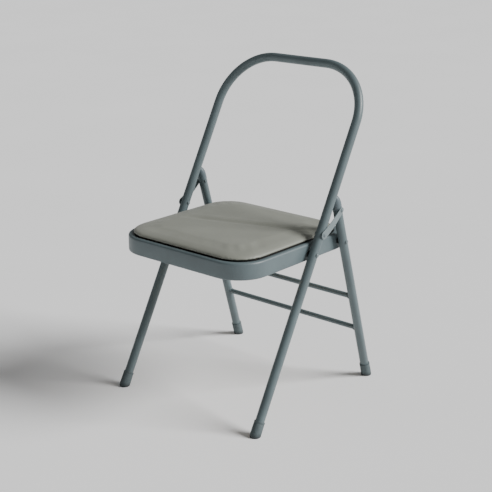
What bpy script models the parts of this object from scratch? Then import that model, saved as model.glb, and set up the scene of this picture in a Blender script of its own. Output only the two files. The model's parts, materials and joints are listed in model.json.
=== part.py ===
"""Steel folding chair with a padded seat.

The chair faces -Y, +Z is up, the floor is z = 0 and the part is mirrored about x = 0.
All sizes are in metres. "Along the tube" means measured up a tube's centre line from the floor.
"""
import bpy
import bmesh
from math import asin, cos, pi, radians, sin
from mathutils import Matrix, Vector

GAP = 0.0003

# Frame tubes
TUBE_RADIUS = 0.011
TUBE_WALL = 0.0012
HALF_WIDTH = 0.2138
FRONT_LEAN = radians(28.86)
REAR_LEAN = radians(-17.12)
FRONT_FLOOR_Y = -0.2179
REAR_FLOOR_Y = 0.2326
REAR_SPLAY = 0.0024
HOOP_LENGTH = 0.9027
HOOP_CORNER_RADIUS = 0.135
REAR_LENGTH = 0.5073
TUBE_START = 0.012

# Pivots, along the tubes
LINK_ON_FRONT = 0.4910
SEAT_ON_FRONT = 0.4405
LINK_ON_REAR = 0.4973
SEAT_ON_REAR = 0.4085

# Stretchers between the rear legs, along the rear legs
STRETCHER_RADIUS = 0.0065
STRETCHER_WALL = 0.0010
STRETCHERS = {"lower_stretcher": 0.1480, "upper_stretcher": 0.2452}

# Rubber feet and leg caps
FOOT_RADIUS = 0.0130
FOOT_TOP = 0.037
CAP_RADIUS = 0.0114
CAP_SKIRT = 0.0045
CAP_DOME = 0.0240
CAP_STEM = 0.005

# Link straps
STRAP_LOWER_RADIUS = 0.0100
STRAP_UPPER_RADIUS = 0.0074
STRAP_THICKNESS = 0.0016
STRAP_INNER_X = 0.2255
STRAP_OUTER_X = STRAP_INNER_X + STRAP_THICKNESS

# Rivets and washers
SHANK_RADIUS = 0.0030
HOLE_RADIUS = 0.0034
HEAD_RADIUS = 0.0048
HEAD_HEIGHT = 0.0024
TAIL_RADIUS = 0.0044
TAIL_HEIGHT = 0.0015
WASHER_RADIUS = 0.0080

# Seat pan
PAN_HALF_WIDTH = 0.2000
PAN_FRONT_Y = -0.2442
PAN_REAR_Y = 0.1608
PAN_BOTTOM = 0.3722
PAN_TOP = 0.4130
PAN_SHEET = 0.0012
PAN_EDGE_RADIUS = 0.0055
PAN_LIP_RADIUS = 0.0030
PAN_LIP = 0.0070
FLANGE_WIDTH = 0.0120
LEDGE_Z = 0.4060
LEDGE_WIDTH = 0.0300
SEAT_TILT = radians(0.7)
FRONT_CORNER = 0.078
REAR_CORNER = 0.050
FRONT_CORNER_RATE = -0.80
REAR_CORNER_RATE = 0.80

# Pad, from the board up
BOARD_THICKNESS = 0.0080
BOARD_INSET = 0.0155
COVER_INSET = 0.0130
COVER_THICKNESS = 0.0010
COVER_BOTTOM = 0.0040
PAD_CROWN = ((0.000, 0.0090), (0.003, 0.0125), (0.009, 0.0160), (0.020, 0.0185), (0.040, 0.0205), (0.080, 0.0215))

# Hinge plates inside the pan
PLATE_OUTER_X = 0.1968
PLATE_THICKNESS = 0.0025
PLATE_END_RADIUS = 0.0080

# Pad screws
SCREW_INSET = 0.0300
SCREW_SPREAD_Y = 0.115
SCREW_MIDDLE_Y = -0.0400
SCREW_SHANK_RADIUS = 0.0016
SCREW_HOLE_RADIUS = 0.0021
SCREW_HEAD_RADIUS = 0.0036
SCREW_HEAD_HEIGHT = 0.0020
SCREW_REACH = 0.0055

TUBE_SIDES = 20
SMALL_SIDES = 12
CORNER_STEPS = 7

SIDES = {"left": -1, "right": 1}


# Materials

def linear(channel):
    """One sRGB channel, 0 to 1, as linear light."""
    if channel <= 0.04045:
        return channel / 12.92
    return ((channel + 0.055) / 1.055) ** 2.4


def material(name, colour, roughness, metallic=0.0):
    """A Principled material from a hex colour."""
    result = bpy.data.materials.new(name)
    result.use_nodes = True
    shader = result.node_tree.nodes["Principled BSDF"]
    channels = [int(colour[i:i + 2], 16) / 255 for i in (0, 2, 4)]
    shader.inputs["Base Color"].default_value = [linear(c) for c in channels] + [1.0]
    shader.inputs["Roughness"].default_value = roughness
    shader.inputs["Metallic"].default_value = metallic
    return result


# Where things are

def on_front(distance, side=0):
    """A point on a front leg's centre line."""
    return Vector((side * HALF_WIDTH, FRONT_FLOOR_Y + distance * sin(FRONT_LEAN), distance * cos(FRONT_LEAN)))


def rear_half_width(distance):
    """Half the distance between the rear legs' centre lines, which splay a little at the floor."""
    return HALF_WIDTH + REAR_SPLAY * (1 - distance / REAR_LENGTH)


def on_rear(distance, side=0):
    """A point on a rear leg's centre line."""
    x = side * rear_half_width(distance)
    return Vector((x, REAR_FLOOR_Y + distance * sin(REAR_LEAN), distance * cos(REAR_LEAN)))


def empty(name, place, direction=None, parent=None):
    """An empty at a place, with its own +Z along a direction."""
    result = bpy.data.objects.new(name, None)
    bpy.context.collection.objects.link(result)
    result.empty_display_size = 0.03
    turn = Matrix.Identity(4)
    if direction is not None:
        turn = Vector(direction).to_track_quat("Z", "Y").to_matrix().to_4x4()
    world = Matrix.Translation(place) @ turn
    if parent is None:
        result.matrix_world = world
        return result
    bpy.context.view_layer.update()
    result.parent = parent
    result.matrix_parent_inverse = parent.matrix_world.inverted()
    result.matrix_world = world
    return result


def seat_tilt():
    """The seat's small backward slope, turned about the pan's front bottom edge."""
    edge = Vector((0, PAN_FRONT_Y, PAN_BOTTOM))
    return Matrix.Translation(edge) @ Matrix.Rotation(-SEAT_TILT, 4, "X") @ Matrix.Translation(-edge)


# Shapes

def finish(name, mesh, finish_material, parent, smooth=True):
    """Turn a bmesh into a named object that hangs from its parent empty."""
    bmesh.ops.recalc_face_normals(mesh, faces=mesh.faces)
    data = bpy.data.meshes.new(name)
    mesh.to_mesh(data)
    mesh.free()
    if smooth:
        data.shade_smooth()
        data.set_sharp_from_angle(angle=radians(35))
    if finish_material:
        data.materials.append(finish_material)
    result = bpy.data.objects.new(name, data)
    bpy.context.collection.objects.link(result)
    result.parent = parent
    return result


def stay_in_place(item):
    """Cancel the parent's own place for a mesh that is already modelled in world coordinates."""
    bpy.context.view_layer.update()
    item.matrix_parent_inverse = item.parent.matrix_world.inverted()


def bridge(mesh, first, second):
    """Join two rings of vertices with quads."""
    count = len(first)
    for i in range(count):
        following = (i + 1) % count
        mesh.faces.new((first[i], first[following], second[following], second[i]))


def turned(profile, sides=SMALL_SIDES, ring=False):
    """A bmesh turned about +Z from (radius, height) points; a ring's profile closes on itself."""
    mesh = bmesh.new()
    points = [mesh.verts.new((radius, 0, height)) for radius, height in profile]
    edges = [mesh.edges.new(pair) for pair in zip(points, points[1:])]
    if ring:
        edges.append(mesh.edges.new((points[-1], points[0])))
    bmesh.ops.spin(mesh, geom=points + edges, axis=(0, 0, 1), angle=2 * pi, steps=sides, use_merge=True)
    bmesh.ops.remove_doubles(mesh, verts=mesh.verts, dist=1e-6)
    return mesh


def pipe(start, end, radius, wall):
    """The closed profile of an open-ended tube along +Z."""
    inner = radius - wall
    return [(inner, start), (radius, start), (radius, end), (inner, end)]


def arc(centre, radius, start, end, steps):
    """Points on an arc in a plane, angles in degrees."""
    turns = [radians(start + (end - start) * i / steps) for i in range(steps + 1)]
    return [(centre[0] + radius * cos(turn), centre[1] + radius * sin(turn)) for turn in turns]


def outline(inset):
    """The seat's rounded plan, drawn in from the pan's outer face."""
    front = FRONT_CORNER + FRONT_CORNER_RATE * inset
    rear = REAR_CORNER + REAR_CORNER_RATE * inset
    x = PAN_HALF_WIDTH - inset
    y_front = PAN_FRONT_Y + inset
    y_rear = PAN_REAR_Y - inset
    points = arc((x - front, y_front + front), front, -90, 0, CORNER_STEPS)
    points += arc((x - rear, y_rear - rear), rear, 0, 90, CORNER_STEPS)
    points += arc((rear - x, y_rear - rear), rear, 90, 180, CORNER_STEPS)
    points += arc((front - x, y_front + front), front, 180, 270, CORNER_STEPS)
    return points


def stacked(levels, closed=False):
    """A bmesh through the seat's plan at each (inset, z) level, capped at both ends or closed on itself."""
    mesh = bmesh.new()
    rings = []
    for inset, z in levels:
        rings.append([mesh.verts.new((x, y, z)) for x, y in outline(inset)])
    for lower, upper in zip(rings, rings[1:]):
        bridge(mesh, lower, upper)
    if closed:
        bridge(mesh, rings[-1], rings[0])
    else:
        mesh.faces.new(rings[0])
        mesh.faces.new(rings[-1])
    bmesh.ops.transform(mesh, matrix=seat_tilt(), verts=mesh.verts)
    return mesh


def offset_path(points, distance):
    """A polyline moved sideways, to its right, by a distance."""
    moved = []
    for i, point in enumerate(points):
        here = Vector(point)
        before = Vector(points[max(i - 1, 0)])
        after = Vector(points[min(i + 1, len(points) - 1)])
        directions = [step.normalized() for step in (here - before, after - here) if step.length > 0]
        normals = [Vector((step.y, -step.x)) for step in directions]
        middle = sum(normals, Vector((0, 0))).normalized()
        moved.append(here + middle * (distance / middle.dot(normals[0])))
    return [tuple(point) for point in moved]


def plate_between(first, second, first_radius, second_radius, thickness, inner_x):
    """A flat tapered bar with round ends, from one pivot to another, standing in the YZ plane."""
    along = (second - first).normalized()
    across = Vector((0, -along.z, along.y))
    half_turn = pi / 2 + asin((second_radius - first_radius) / (second - first).length)
    border = []
    for centre, radius, start, end in ((second, second_radius, -half_turn, half_turn),
                                       (first, first_radius, half_turn, 2 * pi - half_turn)):
        for step in range(SMALL_SIDES + 1):
            turn = start + (end - start) * step / SMALL_SIDES
            border.append(centre + radius * (cos(turn) * along + sin(turn) * across))
    mesh = bmesh.new()
    inner = [mesh.verts.new((inner_x, point.y, point.z)) for point in border]
    outer = [mesh.verts.new((inner_x + thickness, point.y, point.z)) for point in border]
    bridge(mesh, inner, outer)
    mesh.faces.new(inner)
    mesh.faces.new(outer)
    return mesh


def mirror_to(mesh, side):
    """Mirror a bmesh to the left of the chair."""
    if side < 0:
        bmesh.ops.scale(mesh, vec=(-1, 1, 1), verts=mesh.verts)
    return mesh


# Cutters

def cutter(name, place, direction, radius, length, sides=SMALL_SIDES):
    """A wire cylinder centred at a place, for drilling."""
    half = length / 2
    mesh = turned([(0, -half), (radius, -half), (radius, half), (0, half)], sides)
    parent = empty(name + "_axis", place, direction)
    result = finish(name, mesh, None, parent, smooth=False)
    result.hide_render = True
    result.display_type = "WIRE"
    return result


def cut(item, *tools):
    """Drill an object with live Boolean modifiers."""
    for tool in tools:
        modifier = item.modifiers.new("cut_" + tool.name, "BOOLEAN")
        modifier.operation = "DIFFERENCE"
        modifier.solver = "EXACT"
        modifier.object = tool


def cross_hole(name, place):
    """A drill right across the chair through a pivot."""
    return cutter(name, place, (1, 0, 0), HOLE_RADIUS, 0.5)


# Front frame

def hoop_path():
    """The hoop's centre line in its own plane, from the left foot over the top to the right foot."""
    x = HALF_WIDTH - HOOP_CORNER_RADIUS
    y = HOOP_LENGTH - HOOP_CORNER_RADIUS
    points = [(-HALF_WIDTH, TUBE_START)]
    points += arc((-x, y), HOOP_CORNER_RADIUS, 180, 90, 2 * CORNER_STEPS)
    points += arc((x, y), HOOP_CORNER_RADIUS, 90, 0, 2 * CORNER_STEPS)
    points.append((HALF_WIDTH, TUBE_START))
    return points


def hoop_tube(paint, drills):
    """One bent tube: both front legs, the uprights and the top bar."""
    path = [Vector(point) for point in hoop_path()]
    forward = Vector((0, -cos(FRONT_LEAN), sin(FRONT_LEAN)))
    mesh = bmesh.new()
    walls = []
    for radius in (TUBE_RADIUS, TUBE_RADIUS - TUBE_WALL):
        rings = []
        for i, point in enumerate(path):
            step = path[min(i + 1, len(path) - 1)] - path[max(i - 1, 0)]
            step.normalize()
            centre = on_front(point.y)
            centre.x = point.x
            sideways = Vector((step.y, -step.x * sin(FRONT_LEAN), -step.x * cos(FRONT_LEAN)))
            ring = []
            for k in range(TUBE_SIDES):
                turn = 2 * pi * k / TUBE_SIDES
                ring.append(mesh.verts.new(centre + radius * (cos(turn) * sideways + sin(turn) * forward)))
            rings.append(ring)
        for first, second in zip(rings, rings[1:]):
            bridge(mesh, first, second)
        walls.append(rings)
    bridge(mesh, walls[0][0], walls[1][0])
    bridge(mesh, walls[0][-1], walls[1][-1])
    tube = finish("front_hoop_tube", mesh, paint, None)
    cut(tube, *drills)


def foot_profile():
    """A rubber foot's wall from the bottom of its bore, round the tip and up the outside."""
    bore = TUBE_RADIUS + 0.0004
    floor = TUBE_START - GAP
    top = FOOT_TOP
    return [(0, floor), (bore, floor), (bore, top), (0.0123, top), (0.0127, top - 0.002), (FOOT_RADIUS, 0.010),
            (0.0127, 0.004), (0.0118, -0.001), (0.0098, -0.005), (0.0065, -0.008), (0, -0.009)]


def foot(name, rubber, axis, parent):
    """A rubber foot on a leg's end, with its tip flat on the floor."""
    mesh = turned(foot_profile(), TUBE_SIDES)
    bpy.context.view_layer.update()
    bmesh.ops.transform(mesh, matrix=axis.matrix_world, verts=mesh.verts)
    everything = mesh.verts[:] + mesh.edges[:] + mesh.faces[:]
    sliced = bmesh.ops.bisect_plane(mesh, geom=everything, plane_co=(0, 0, 0), plane_no=(0, 0, 1),
                                    clear_inner=True)
    rim = [item for item in sliced["geom_cut"] if isinstance(item, bmesh.types.BMEdge)]
    bmesh.ops.holes_fill(mesh, edges=rim)
    tip = finish(name, mesh, rubber, parent)
    if parent:
        stay_in_place(tip)


# Rivets and washers

def rivet_profile(tail_x, head_x, tail=True):
    """A domed rivet along its axis, from the tail's outer face to the top of the head."""
    dome = [(HEAD_RADIUS, head_x), (HEAD_RADIUS, head_x + 0.25 * HEAD_HEIGHT)]
    dome += [(0.80 * HEAD_RADIUS, head_x + 0.72 * HEAD_HEIGHT), (0.45 * HEAD_RADIUS, head_x + 0.95 * HEAD_HEIGHT)]
    dome.append((0, head_x + HEAD_HEIGHT))
    start = [(0, tail_x), (SHANK_RADIUS, tail_x)]
    if tail:
        start = [(0, tail_x - TAIL_HEIGHT), (TAIL_RADIUS, tail_x - TAIL_HEIGHT), (TAIL_RADIUS, tail_x),
                 (SHANK_RADIUS, tail_x)]
    return start + [(SHANK_RADIUS, head_x)] + dome


def sideways_piece(name, profile, pivot, side, finish_material, parent, ring=False):
    """A turned piece whose axis runs out along +X or -X through a pivot."""
    mesh = turned(profile, SMALL_SIDES, ring)
    turn = Matrix.Rotation(side * pi / 2, 4, "Y")
    place = Matrix.Translation((0, pivot.y, pivot.z))
    bmesh.ops.transform(mesh, matrix=place @ turn, verts=mesh.verts)
    item = finish(name, mesh, finish_material, parent)
    if parent:
        stay_in_place(item)


def washer_profile(inner_x, outer_x):
    """A flat ring between two faces that it nearly touches."""
    start = inner_x + GAP
    end = outer_x - GAP
    return [(HOLE_RADIUS, start), (WASHER_RADIUS, start), (WASHER_RADIUS, end), (HOLE_RADIUS, end)]


# Rear frame

def rear_leg(name, paint, parent, axis, drills):
    """A straight rear leg tube."""
    mesh = turned(pipe(TUBE_START, REAR_LENGTH, TUBE_RADIUS, TUBE_WALL), TUBE_SIDES, ring=True)
    bmesh.ops.transform(mesh, matrix=axis.matrix_world, verts=mesh.verts)
    leg = finish(name, mesh, paint, parent)
    stay_in_place(leg)
    cut(leg, *drills)


def leg_cap(name, plastic, parent, axis, front_clearance):
    """A long domed cap, coped to lie behind the front tube, whose stem plugs the rear leg's top."""
    stem = TUBE_RADIUS - TUBE_WALL - 0.0004
    base = REAR_LENGTH + GAP
    shoulder = base + CAP_SKIRT
    profile = [(0, REAR_LENGTH - CAP_STEM), (stem, REAR_LENGTH - CAP_STEM), (stem, base)]
    dome = arc((0, 0), 1, 0, 90, 6)
    profile += [(CAP_RADIUS, base)] + [(CAP_RADIUS * x, shoulder + CAP_DOME * y) for x, y in dome[:-1]]
    profile.append((0, shoulder + CAP_DOME))
    mesh = turned(profile, TUBE_SIDES)
    bmesh.ops.transform(mesh, matrix=axis.matrix_world, verts=mesh.verts)
    cap = finish(name, mesh, plastic, parent)
    stay_in_place(cap)
    cut(cap, front_clearance)


def stretcher(name, distance, paint, parent, leg_cutters):
    """A thin cross tube between the rear legs, its ends coped to fit round them."""
    reach = rear_half_width(distance) - TUBE_RADIUS / 2
    mesh = turned(pipe(-reach, reach, STRETCHER_RADIUS, STRETCHER_WALL), SMALL_SIDES, ring=True)
    turn = Matrix.Rotation(pi / 2, 4, "Y")
    bmesh.ops.transform(mesh, matrix=Matrix.Translation(on_rear(distance)) @ turn, verts=mesh.verts)
    bar = finish(name, mesh, paint, parent)
    stay_in_place(bar)
    cut(bar, *leg_cutters)


# Seat

def pan_section():
    """The pan's sheet as (inset, z) points: ledge, step, flange, wall and bottom lip."""
    flange_edge = FLANGE_WIDTH - 0.002
    skin = [(FLANGE_WIDTH + LEDGE_WIDTH, LEDGE_Z), (FLANGE_WIDTH, LEDGE_Z), (FLANGE_WIDTH, PAN_TOP - 0.002)]
    skin.append((flange_edge, PAN_TOP))
    skin += arc((PAN_EDGE_RADIUS, PAN_TOP - PAN_EDGE_RADIUS), PAN_EDGE_RADIUS, 90, 180, 4)
    skin += arc((PAN_LIP_RADIUS, PAN_BOTTOM + PAN_LIP_RADIUS), PAN_LIP_RADIUS, 180, 270, 2)
    skin.append((PAN_LIP, PAN_BOTTOM))
    return skin + offset_path(skin, -PAN_SHEET)[::-1]


def seat_pan(paint, parent, drills):
    """The pressed steel pan: a ring that holds the pad on its ledge."""
    pan = finish("seat_pan", stacked(pan_section(), closed=True), paint, parent)
    stay_in_place(pan)
    cut(pan, *drills)


def board_levels():
    bottom = LEDGE_Z + GAP
    return [(BOARD_INSET, bottom), (BOARD_INSET, bottom + BOARD_THICKNESS)]


def cover_levels():
    """The cover as a tray turned upside down, from the inside of its top to the outside."""
    inside = [(COVER_INSET + COVER_THICKNESS + inset, LEDGE_Z + height - COVER_THICKNESS)
              for inset, height in PAD_CROWN]
    outside = [(COVER_INSET + inset, LEDGE_Z + height) for inset, height in PAD_CROWN]
    edge = LEDGE_Z + COVER_BOTTOM
    return inside[::-1] + [(COVER_INSET + COVER_THICKNESS, edge), (COVER_INSET, edge)] + outside


def foam_levels():
    """The foam between the board and the cover."""
    skin = COVER_THICKNESS + GAP
    bottom = LEDGE_Z + BOARD_THICKNESS + 2 * GAP
    crown = [(COVER_INSET + skin + inset, LEDGE_Z + height - skin) for inset, height in PAD_CROWN[1:]]
    return [(COVER_INSET + skin + 0.0015, bottom)] + crown


def pad(materials, parent, screw_cutters):
    """The seat pad: plywood board, foam and cover."""
    board = finish("seat_board", stacked(board_levels()), materials["plywood"], parent)
    stay_in_place(board)
    cut(board, *screw_cutters)
    stay_in_place(finish("seat_foam", stacked(foam_levels()), materials["foam"], parent))
    stay_in_place(finish("seat_cover", stacked(cover_levels()), materials["vinyl"], parent))


def screw_places():
    """The four pad screws, by name."""
    x = PAN_HALF_WIDTH - SCREW_INSET
    places = {}
    for side_name, side in SIDES.items():
        for row, way in (("front", -1), ("rear", 1)):
            y = SCREW_MIDDLE_Y + way * SCREW_SPREAD_Y
            places[row + "_" + side_name] = Vector((side * x, y, LEDGE_Z))
    return places


def pad_screw(name, place, steel, parent):
    """A pan-head screw up through the ledge into the board."""
    seat = LEDGE_Z - PAN_SHEET - GAP
    tip = LEDGE_Z + SCREW_REACH
    profile = [(0, seat - SCREW_HEAD_HEIGHT), (0.7 * SCREW_HEAD_RADIUS, seat - SCREW_HEAD_HEIGHT),
               (SCREW_HEAD_RADIUS, seat - 0.5 * SCREW_HEAD_HEIGHT), (SCREW_HEAD_RADIUS, seat),
               (SCREW_SHANK_RADIUS, seat), (SCREW_SHANK_RADIUS, tip - 0.0015), (0, tip)]
    mesh = turned(profile, 12)
    stand = seat_tilt() @ Matrix.Translation((place.x, place.y, 0))
    bmesh.ops.transform(mesh, matrix=stand, verts=mesh.verts)
    stay_in_place(finish(name, mesh, steel, parent))


# Assembly

def build_front(materials, drills):
    """The root body: hoop, feet, and the rivets that stay in the front tube."""
    hoop_tube(materials["paint"], (drills["link_front"], drills["seat_front"]))
    tube_outer = HALF_WIDTH + TUBE_RADIUS
    tube_inner = HALF_WIDTH - TUBE_RADIUS
    for side_name, side in SIDES.items():
        axis = empty("front_leg_axis_" + side_name, on_front(0, side), on_front(1) - on_front(0))
        foot("front_foot_" + side_name, materials["rubber"], axis, None)
        link = on_front(LINK_ON_FRONT)
        seat = on_front(SEAT_ON_FRONT)
        sideways_piece("link_rivet_front_" + side_name, rivet_profile(tube_inner - GAP, STRAP_OUTER_X + GAP),
                       link, side, materials["rivet"], None)
        plate_inner = PLATE_OUTER_X - PLATE_THICKNESS
        sideways_piece("seat_rivet_front_" + side_name, rivet_profile(plate_inner - GAP, tube_outer + GAP),
                       seat, side, materials["rivet"], None)
        sideways_piece("seat_washer_front_" + side_name, washer_profile(PAN_HALF_WIDTH, tube_inner),
                       seat, side, materials["nylon"], None, ring=True)


def build_seat(materials, drills, screw_cutters, seat_pivot):
    """The seat body: pan, hinge plates, pad and screws."""
    seat_pan(materials["paint"], seat_pivot, [drills["seat_front"], drills["seat_rear"]] + screw_cutters)
    for side_name, side in SIDES.items():
        inner_x = PLATE_OUTER_X - PLATE_THICKNESS
        bar = plate_between(on_front(SEAT_ON_FRONT), on_rear(SEAT_ON_REAR), PLATE_END_RADIUS,
                            PLATE_END_RADIUS, PLATE_THICKNESS, inner_x)
        plate = finish("hinge_plate_" + side_name, mirror_to(bar, side), materials["zinc"], seat_pivot, smooth=False)
        stay_in_place(plate)
        cut(plate, drills["seat_front"], drills["seat_rear"])
        leg_inner = rear_half_width(SEAT_ON_REAR) - TUBE_RADIUS
        sideways_piece("seat_washer_rear_" + side_name, washer_profile(PAN_HALF_WIDTH, leg_inner),
                       on_rear(SEAT_ON_REAR), side, materials["nylon"], seat_pivot, ring=True)
    pad(materials, seat_pivot, screw_cutters)
    for name, place in screw_places().items():
        pad_screw("pad_screw_" + name, place, materials["zinc"], seat_pivot)


def tail_profile(side_wall):
    """The part of the upper link rivet that stays in the leg: a tail and a stub of shank."""
    inner = side_wall - TUBE_RADIUS - GAP
    outer = side_wall + TUBE_RADIUS
    return [(0, inner - TAIL_HEIGHT), (TAIL_RADIUS, inner - TAIL_HEIGHT), (TAIL_RADIUS, inner),
            (SHANK_RADIUS, inner), (SHANK_RADIUS, outer), (0, outer)]


def build_rear(materials, drills, rear_pivot):
    """The rear body: two legs, caps, feet, stretchers and the rivets that stay in the legs."""
    leg_cutters = []
    for side_name, side in SIDES.items():
        direction = on_rear(1, side) - on_rear(0, side)
        axis = empty("rear_leg_axis_" + side_name, on_rear(0, side), direction, rear_pivot)
        front_clearance = cutter("front_clearance_" + side_name, on_front(SEAT_ON_FRONT + 0.1, side),
                                 on_front(1) - on_front(0), TUBE_RADIUS + 0.0006, 0.3, TUBE_SIDES)
        bpy.context.view_layer.update()
        leg_cutters.append(cutter("leg_clearance_" + side_name, on_rear(0.2, side), direction,
                                  TUBE_RADIUS + GAP, 0.3, TUBE_SIDES))
        rear_leg("rear_leg_" + side_name, materials["paint"], rear_pivot, axis,
                 (drills["seat_rear"], drills["link_rear"]))
        leg_cap("leg_cap_" + side_name, materials["cap"], rear_pivot, axis, front_clearance)
        foot("rear_foot_" + side_name, materials["rubber"], axis, rear_pivot)
        head_x = rear_half_width(SEAT_ON_REAR) + TUBE_RADIUS + GAP
        plate_inner = PLATE_OUTER_X - PLATE_THICKNESS
        sideways_piece("seat_rivet_rear_" + side_name, rivet_profile(plate_inner - GAP, head_x),
                       on_rear(SEAT_ON_REAR), side, materials["rivet"], rear_pivot)
        sideways_piece("link_rivet_tail_" + side_name, tail_profile(rear_half_width(LINK_ON_REAR)),
                       on_rear(LINK_ON_REAR), side, materials["rivet"], rear_pivot)
    for name, distance in STRETCHERS.items():
        stretcher(name, distance, materials["paint"], rear_pivot, leg_cutters)


def build_links(materials, drills):
    """The link bodies: a strap and its upper rivet on each side."""
    for side_name, side in SIDES.items():
        pivot = empty("link_pivot_" + side_name, on_front(LINK_ON_FRONT, side))
        bar = plate_between(on_front(LINK_ON_FRONT), on_rear(LINK_ON_REAR), STRAP_LOWER_RADIUS,
                            STRAP_UPPER_RADIUS, STRAP_THICKNESS, STRAP_INNER_X)
        strap = finish("link_strap_" + side_name, mirror_to(bar, side), materials["strap"], pivot, smooth=False)
        stay_in_place(strap)
        cut(strap, drills["link_front"], drills["link_rear"])
        sideways_piece("link_rivet_rear_" + side_name,
                       rivet_profile(STRAP_INNER_X, STRAP_OUTER_X + GAP, tail=False),
                       on_rear(LINK_ON_REAR), side, materials["rivet"], pivot)


def main():
    for item in list(bpy.data.objects):
        bpy.data.objects.remove(item, do_unlink=True)
    materials = {
        "paint": material("grey_blue_powder_coat", "5F6C6F", 0.45),
        "strap": material("light_grey_powder_coat", "7F8B8D", 0.45),
        "rubber": material("dark_grey_rubber", "3C4446", 0.75),
        "cap": material("grey_moulded_plastic", "5A6668", 0.50),
        "rivet": material("painted_rivet_steel", "76838A", 0.40, 0.3),
        "zinc": material("zinc_plated_steel", "9AA0A2", 0.35, 1.0),
        "nylon": material("black_nylon", "202325", 0.55),
        "plywood": material("plywood", "B28F63", 0.80),
        "foam": material("polyurethane_foam", "D9CFA8", 0.95),
        "vinyl": material("grey_vinyl", "84877D", 0.50),
    }
    drills = {
        "link_front": cross_hole("drill_link_front", on_front(LINK_ON_FRONT)),
        "link_rear": cross_hole("drill_link_rear", on_rear(LINK_ON_REAR)),
        "seat_front": cross_hole("drill_seat_front", on_front(SEAT_ON_FRONT)),
        "seat_rear": cross_hole("drill_seat_rear", on_rear(SEAT_ON_REAR)),
    }
    hole_top = LEDGE_Z + SCREW_REACH + 0.0005
    hole_bottom = LEDGE_Z - 0.010
    screw_cutters = []
    for name, place in screw_places().items():
        middle = seat_tilt() @ Vector((place.x, place.y, (hole_top + hole_bottom) / 2))
        upright = seat_tilt().to_3x3() @ Vector((0, 0, 1))
        screw_cutters.append(cutter("drill_screw_" + name, middle, upright, SCREW_HOLE_RADIUS,
                                    hole_top - hole_bottom))
    seat_pivot = empty("seat_pivot", on_front(SEAT_ON_FRONT))
    rear_pivot = empty("rear_pivot", on_rear(SEAT_ON_REAR), None, seat_pivot)
    build_front(materials, drills)
    build_seat(materials, drills, screw_cutters, seat_pivot)
    build_rear(materials, drills, rear_pivot)
    build_links(materials, drills)


main()
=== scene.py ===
"""Looks of a steel folding chair with a padded seat.

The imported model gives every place. The chair faces -Y, +Z is up and the floor is z = 0.
Sizes are in metres. Right-hand pieces are modelled and then mirrored to the left.
"""

import json
from math import atan2, cos, exp, hypot, pi, radians, sin

import bmesh
import bpy
from mathutils import Matrix, Vector


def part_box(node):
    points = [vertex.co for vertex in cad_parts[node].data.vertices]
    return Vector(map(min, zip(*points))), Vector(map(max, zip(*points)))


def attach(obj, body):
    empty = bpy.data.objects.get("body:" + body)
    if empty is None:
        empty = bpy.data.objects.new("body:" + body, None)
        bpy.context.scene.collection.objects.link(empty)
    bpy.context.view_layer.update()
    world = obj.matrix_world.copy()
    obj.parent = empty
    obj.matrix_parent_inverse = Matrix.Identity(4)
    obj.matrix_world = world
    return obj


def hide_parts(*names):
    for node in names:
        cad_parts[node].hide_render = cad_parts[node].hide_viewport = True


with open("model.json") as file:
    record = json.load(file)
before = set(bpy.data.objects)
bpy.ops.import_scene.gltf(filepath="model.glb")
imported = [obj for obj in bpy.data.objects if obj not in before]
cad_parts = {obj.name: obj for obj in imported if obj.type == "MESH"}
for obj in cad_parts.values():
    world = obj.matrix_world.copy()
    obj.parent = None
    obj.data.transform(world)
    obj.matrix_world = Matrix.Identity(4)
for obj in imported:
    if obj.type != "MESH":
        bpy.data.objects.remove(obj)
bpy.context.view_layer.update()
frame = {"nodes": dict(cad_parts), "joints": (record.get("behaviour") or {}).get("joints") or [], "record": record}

# Driving places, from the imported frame
SOLES = {mount["name"]: Vector(mount["pos_m"]) for mount in frame["record"]["mounts"]}
PIVOTS = {joint["name"]: Vector(joint["pos_m"]) for joint in frame["joints"]}
FRONT_SOLE = SOLES["front_foot_right_sole"]
REAR_SOLE = SOLES["rear_foot_right_sole"]
HALF_WIDTH = FRONT_SOLE.x
TUBE_RADIUS = 0.011
TUBE_WALL = 0.0012
TUBE_START = 0.012
FRONT_LEAN = atan2(PIVOTS["seat_fold"].y - FRONT_SOLE.y, PIVOTS["seat_fold"].z)
REAR_LEAN = atan2(PIVOTS["rear_frame_fold"].y - REAR_SOLE.y, PIVOTS["rear_frame_fold"].z)
HOOP_LENGTH = (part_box("front_hoop_tube")[1].z - TUBE_RADIUS) / cos(FRONT_LEAN)
HOOP_CORNER = 0.135
REAR_LENGTH = (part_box("rear_leg_right")[1].z + TUBE_RADIUS * sin(REAR_LEAN)) / cos(REAR_LEAN)

# Feet and leg caps
FOOT_RADIUS = 0.0130
FOOT_TOP = 0.037
CAP_RADIUS = 0.0119
CAP_SLEEVE = 0.0068
CAP_LENGTH = 0.0288
CAP_CLEARANCE = 0.0006

# Straps and rivets
STRAP_LOWER_RADIUS = 0.0100
STRAP_UPPER_RADIUS = 0.0074
STRAP_BOW = 0.0028
STRAP_RIB = 0.0004
SHANK_RADIUS = 0.0030
HEAD_RADIUS = 0.0048
HEAD_HEIGHT = 0.0024
TAIL_RADIUS = 0.0044
TAIL_HEIGHT = 0.0015

# Seat, before its tilt
PAN_HALF_WIDTH = 0.2000
PAN_FRONT_Y = -0.2442
PAN_REAR_Y = 0.1608
PAN_BOTTOM = 0.3722
PAN_TOP = 0.4130
PAN_SHEET = 0.0012
LEDGE_Z = 0.4060
SEAT_TILT = radians(0.7)
FRONT_CORNER = 0.078
REAR_CORNER = 0.050
FRONT_CORNER_RATE = -0.80
REAR_CORNER_RATE = 0.80

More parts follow.
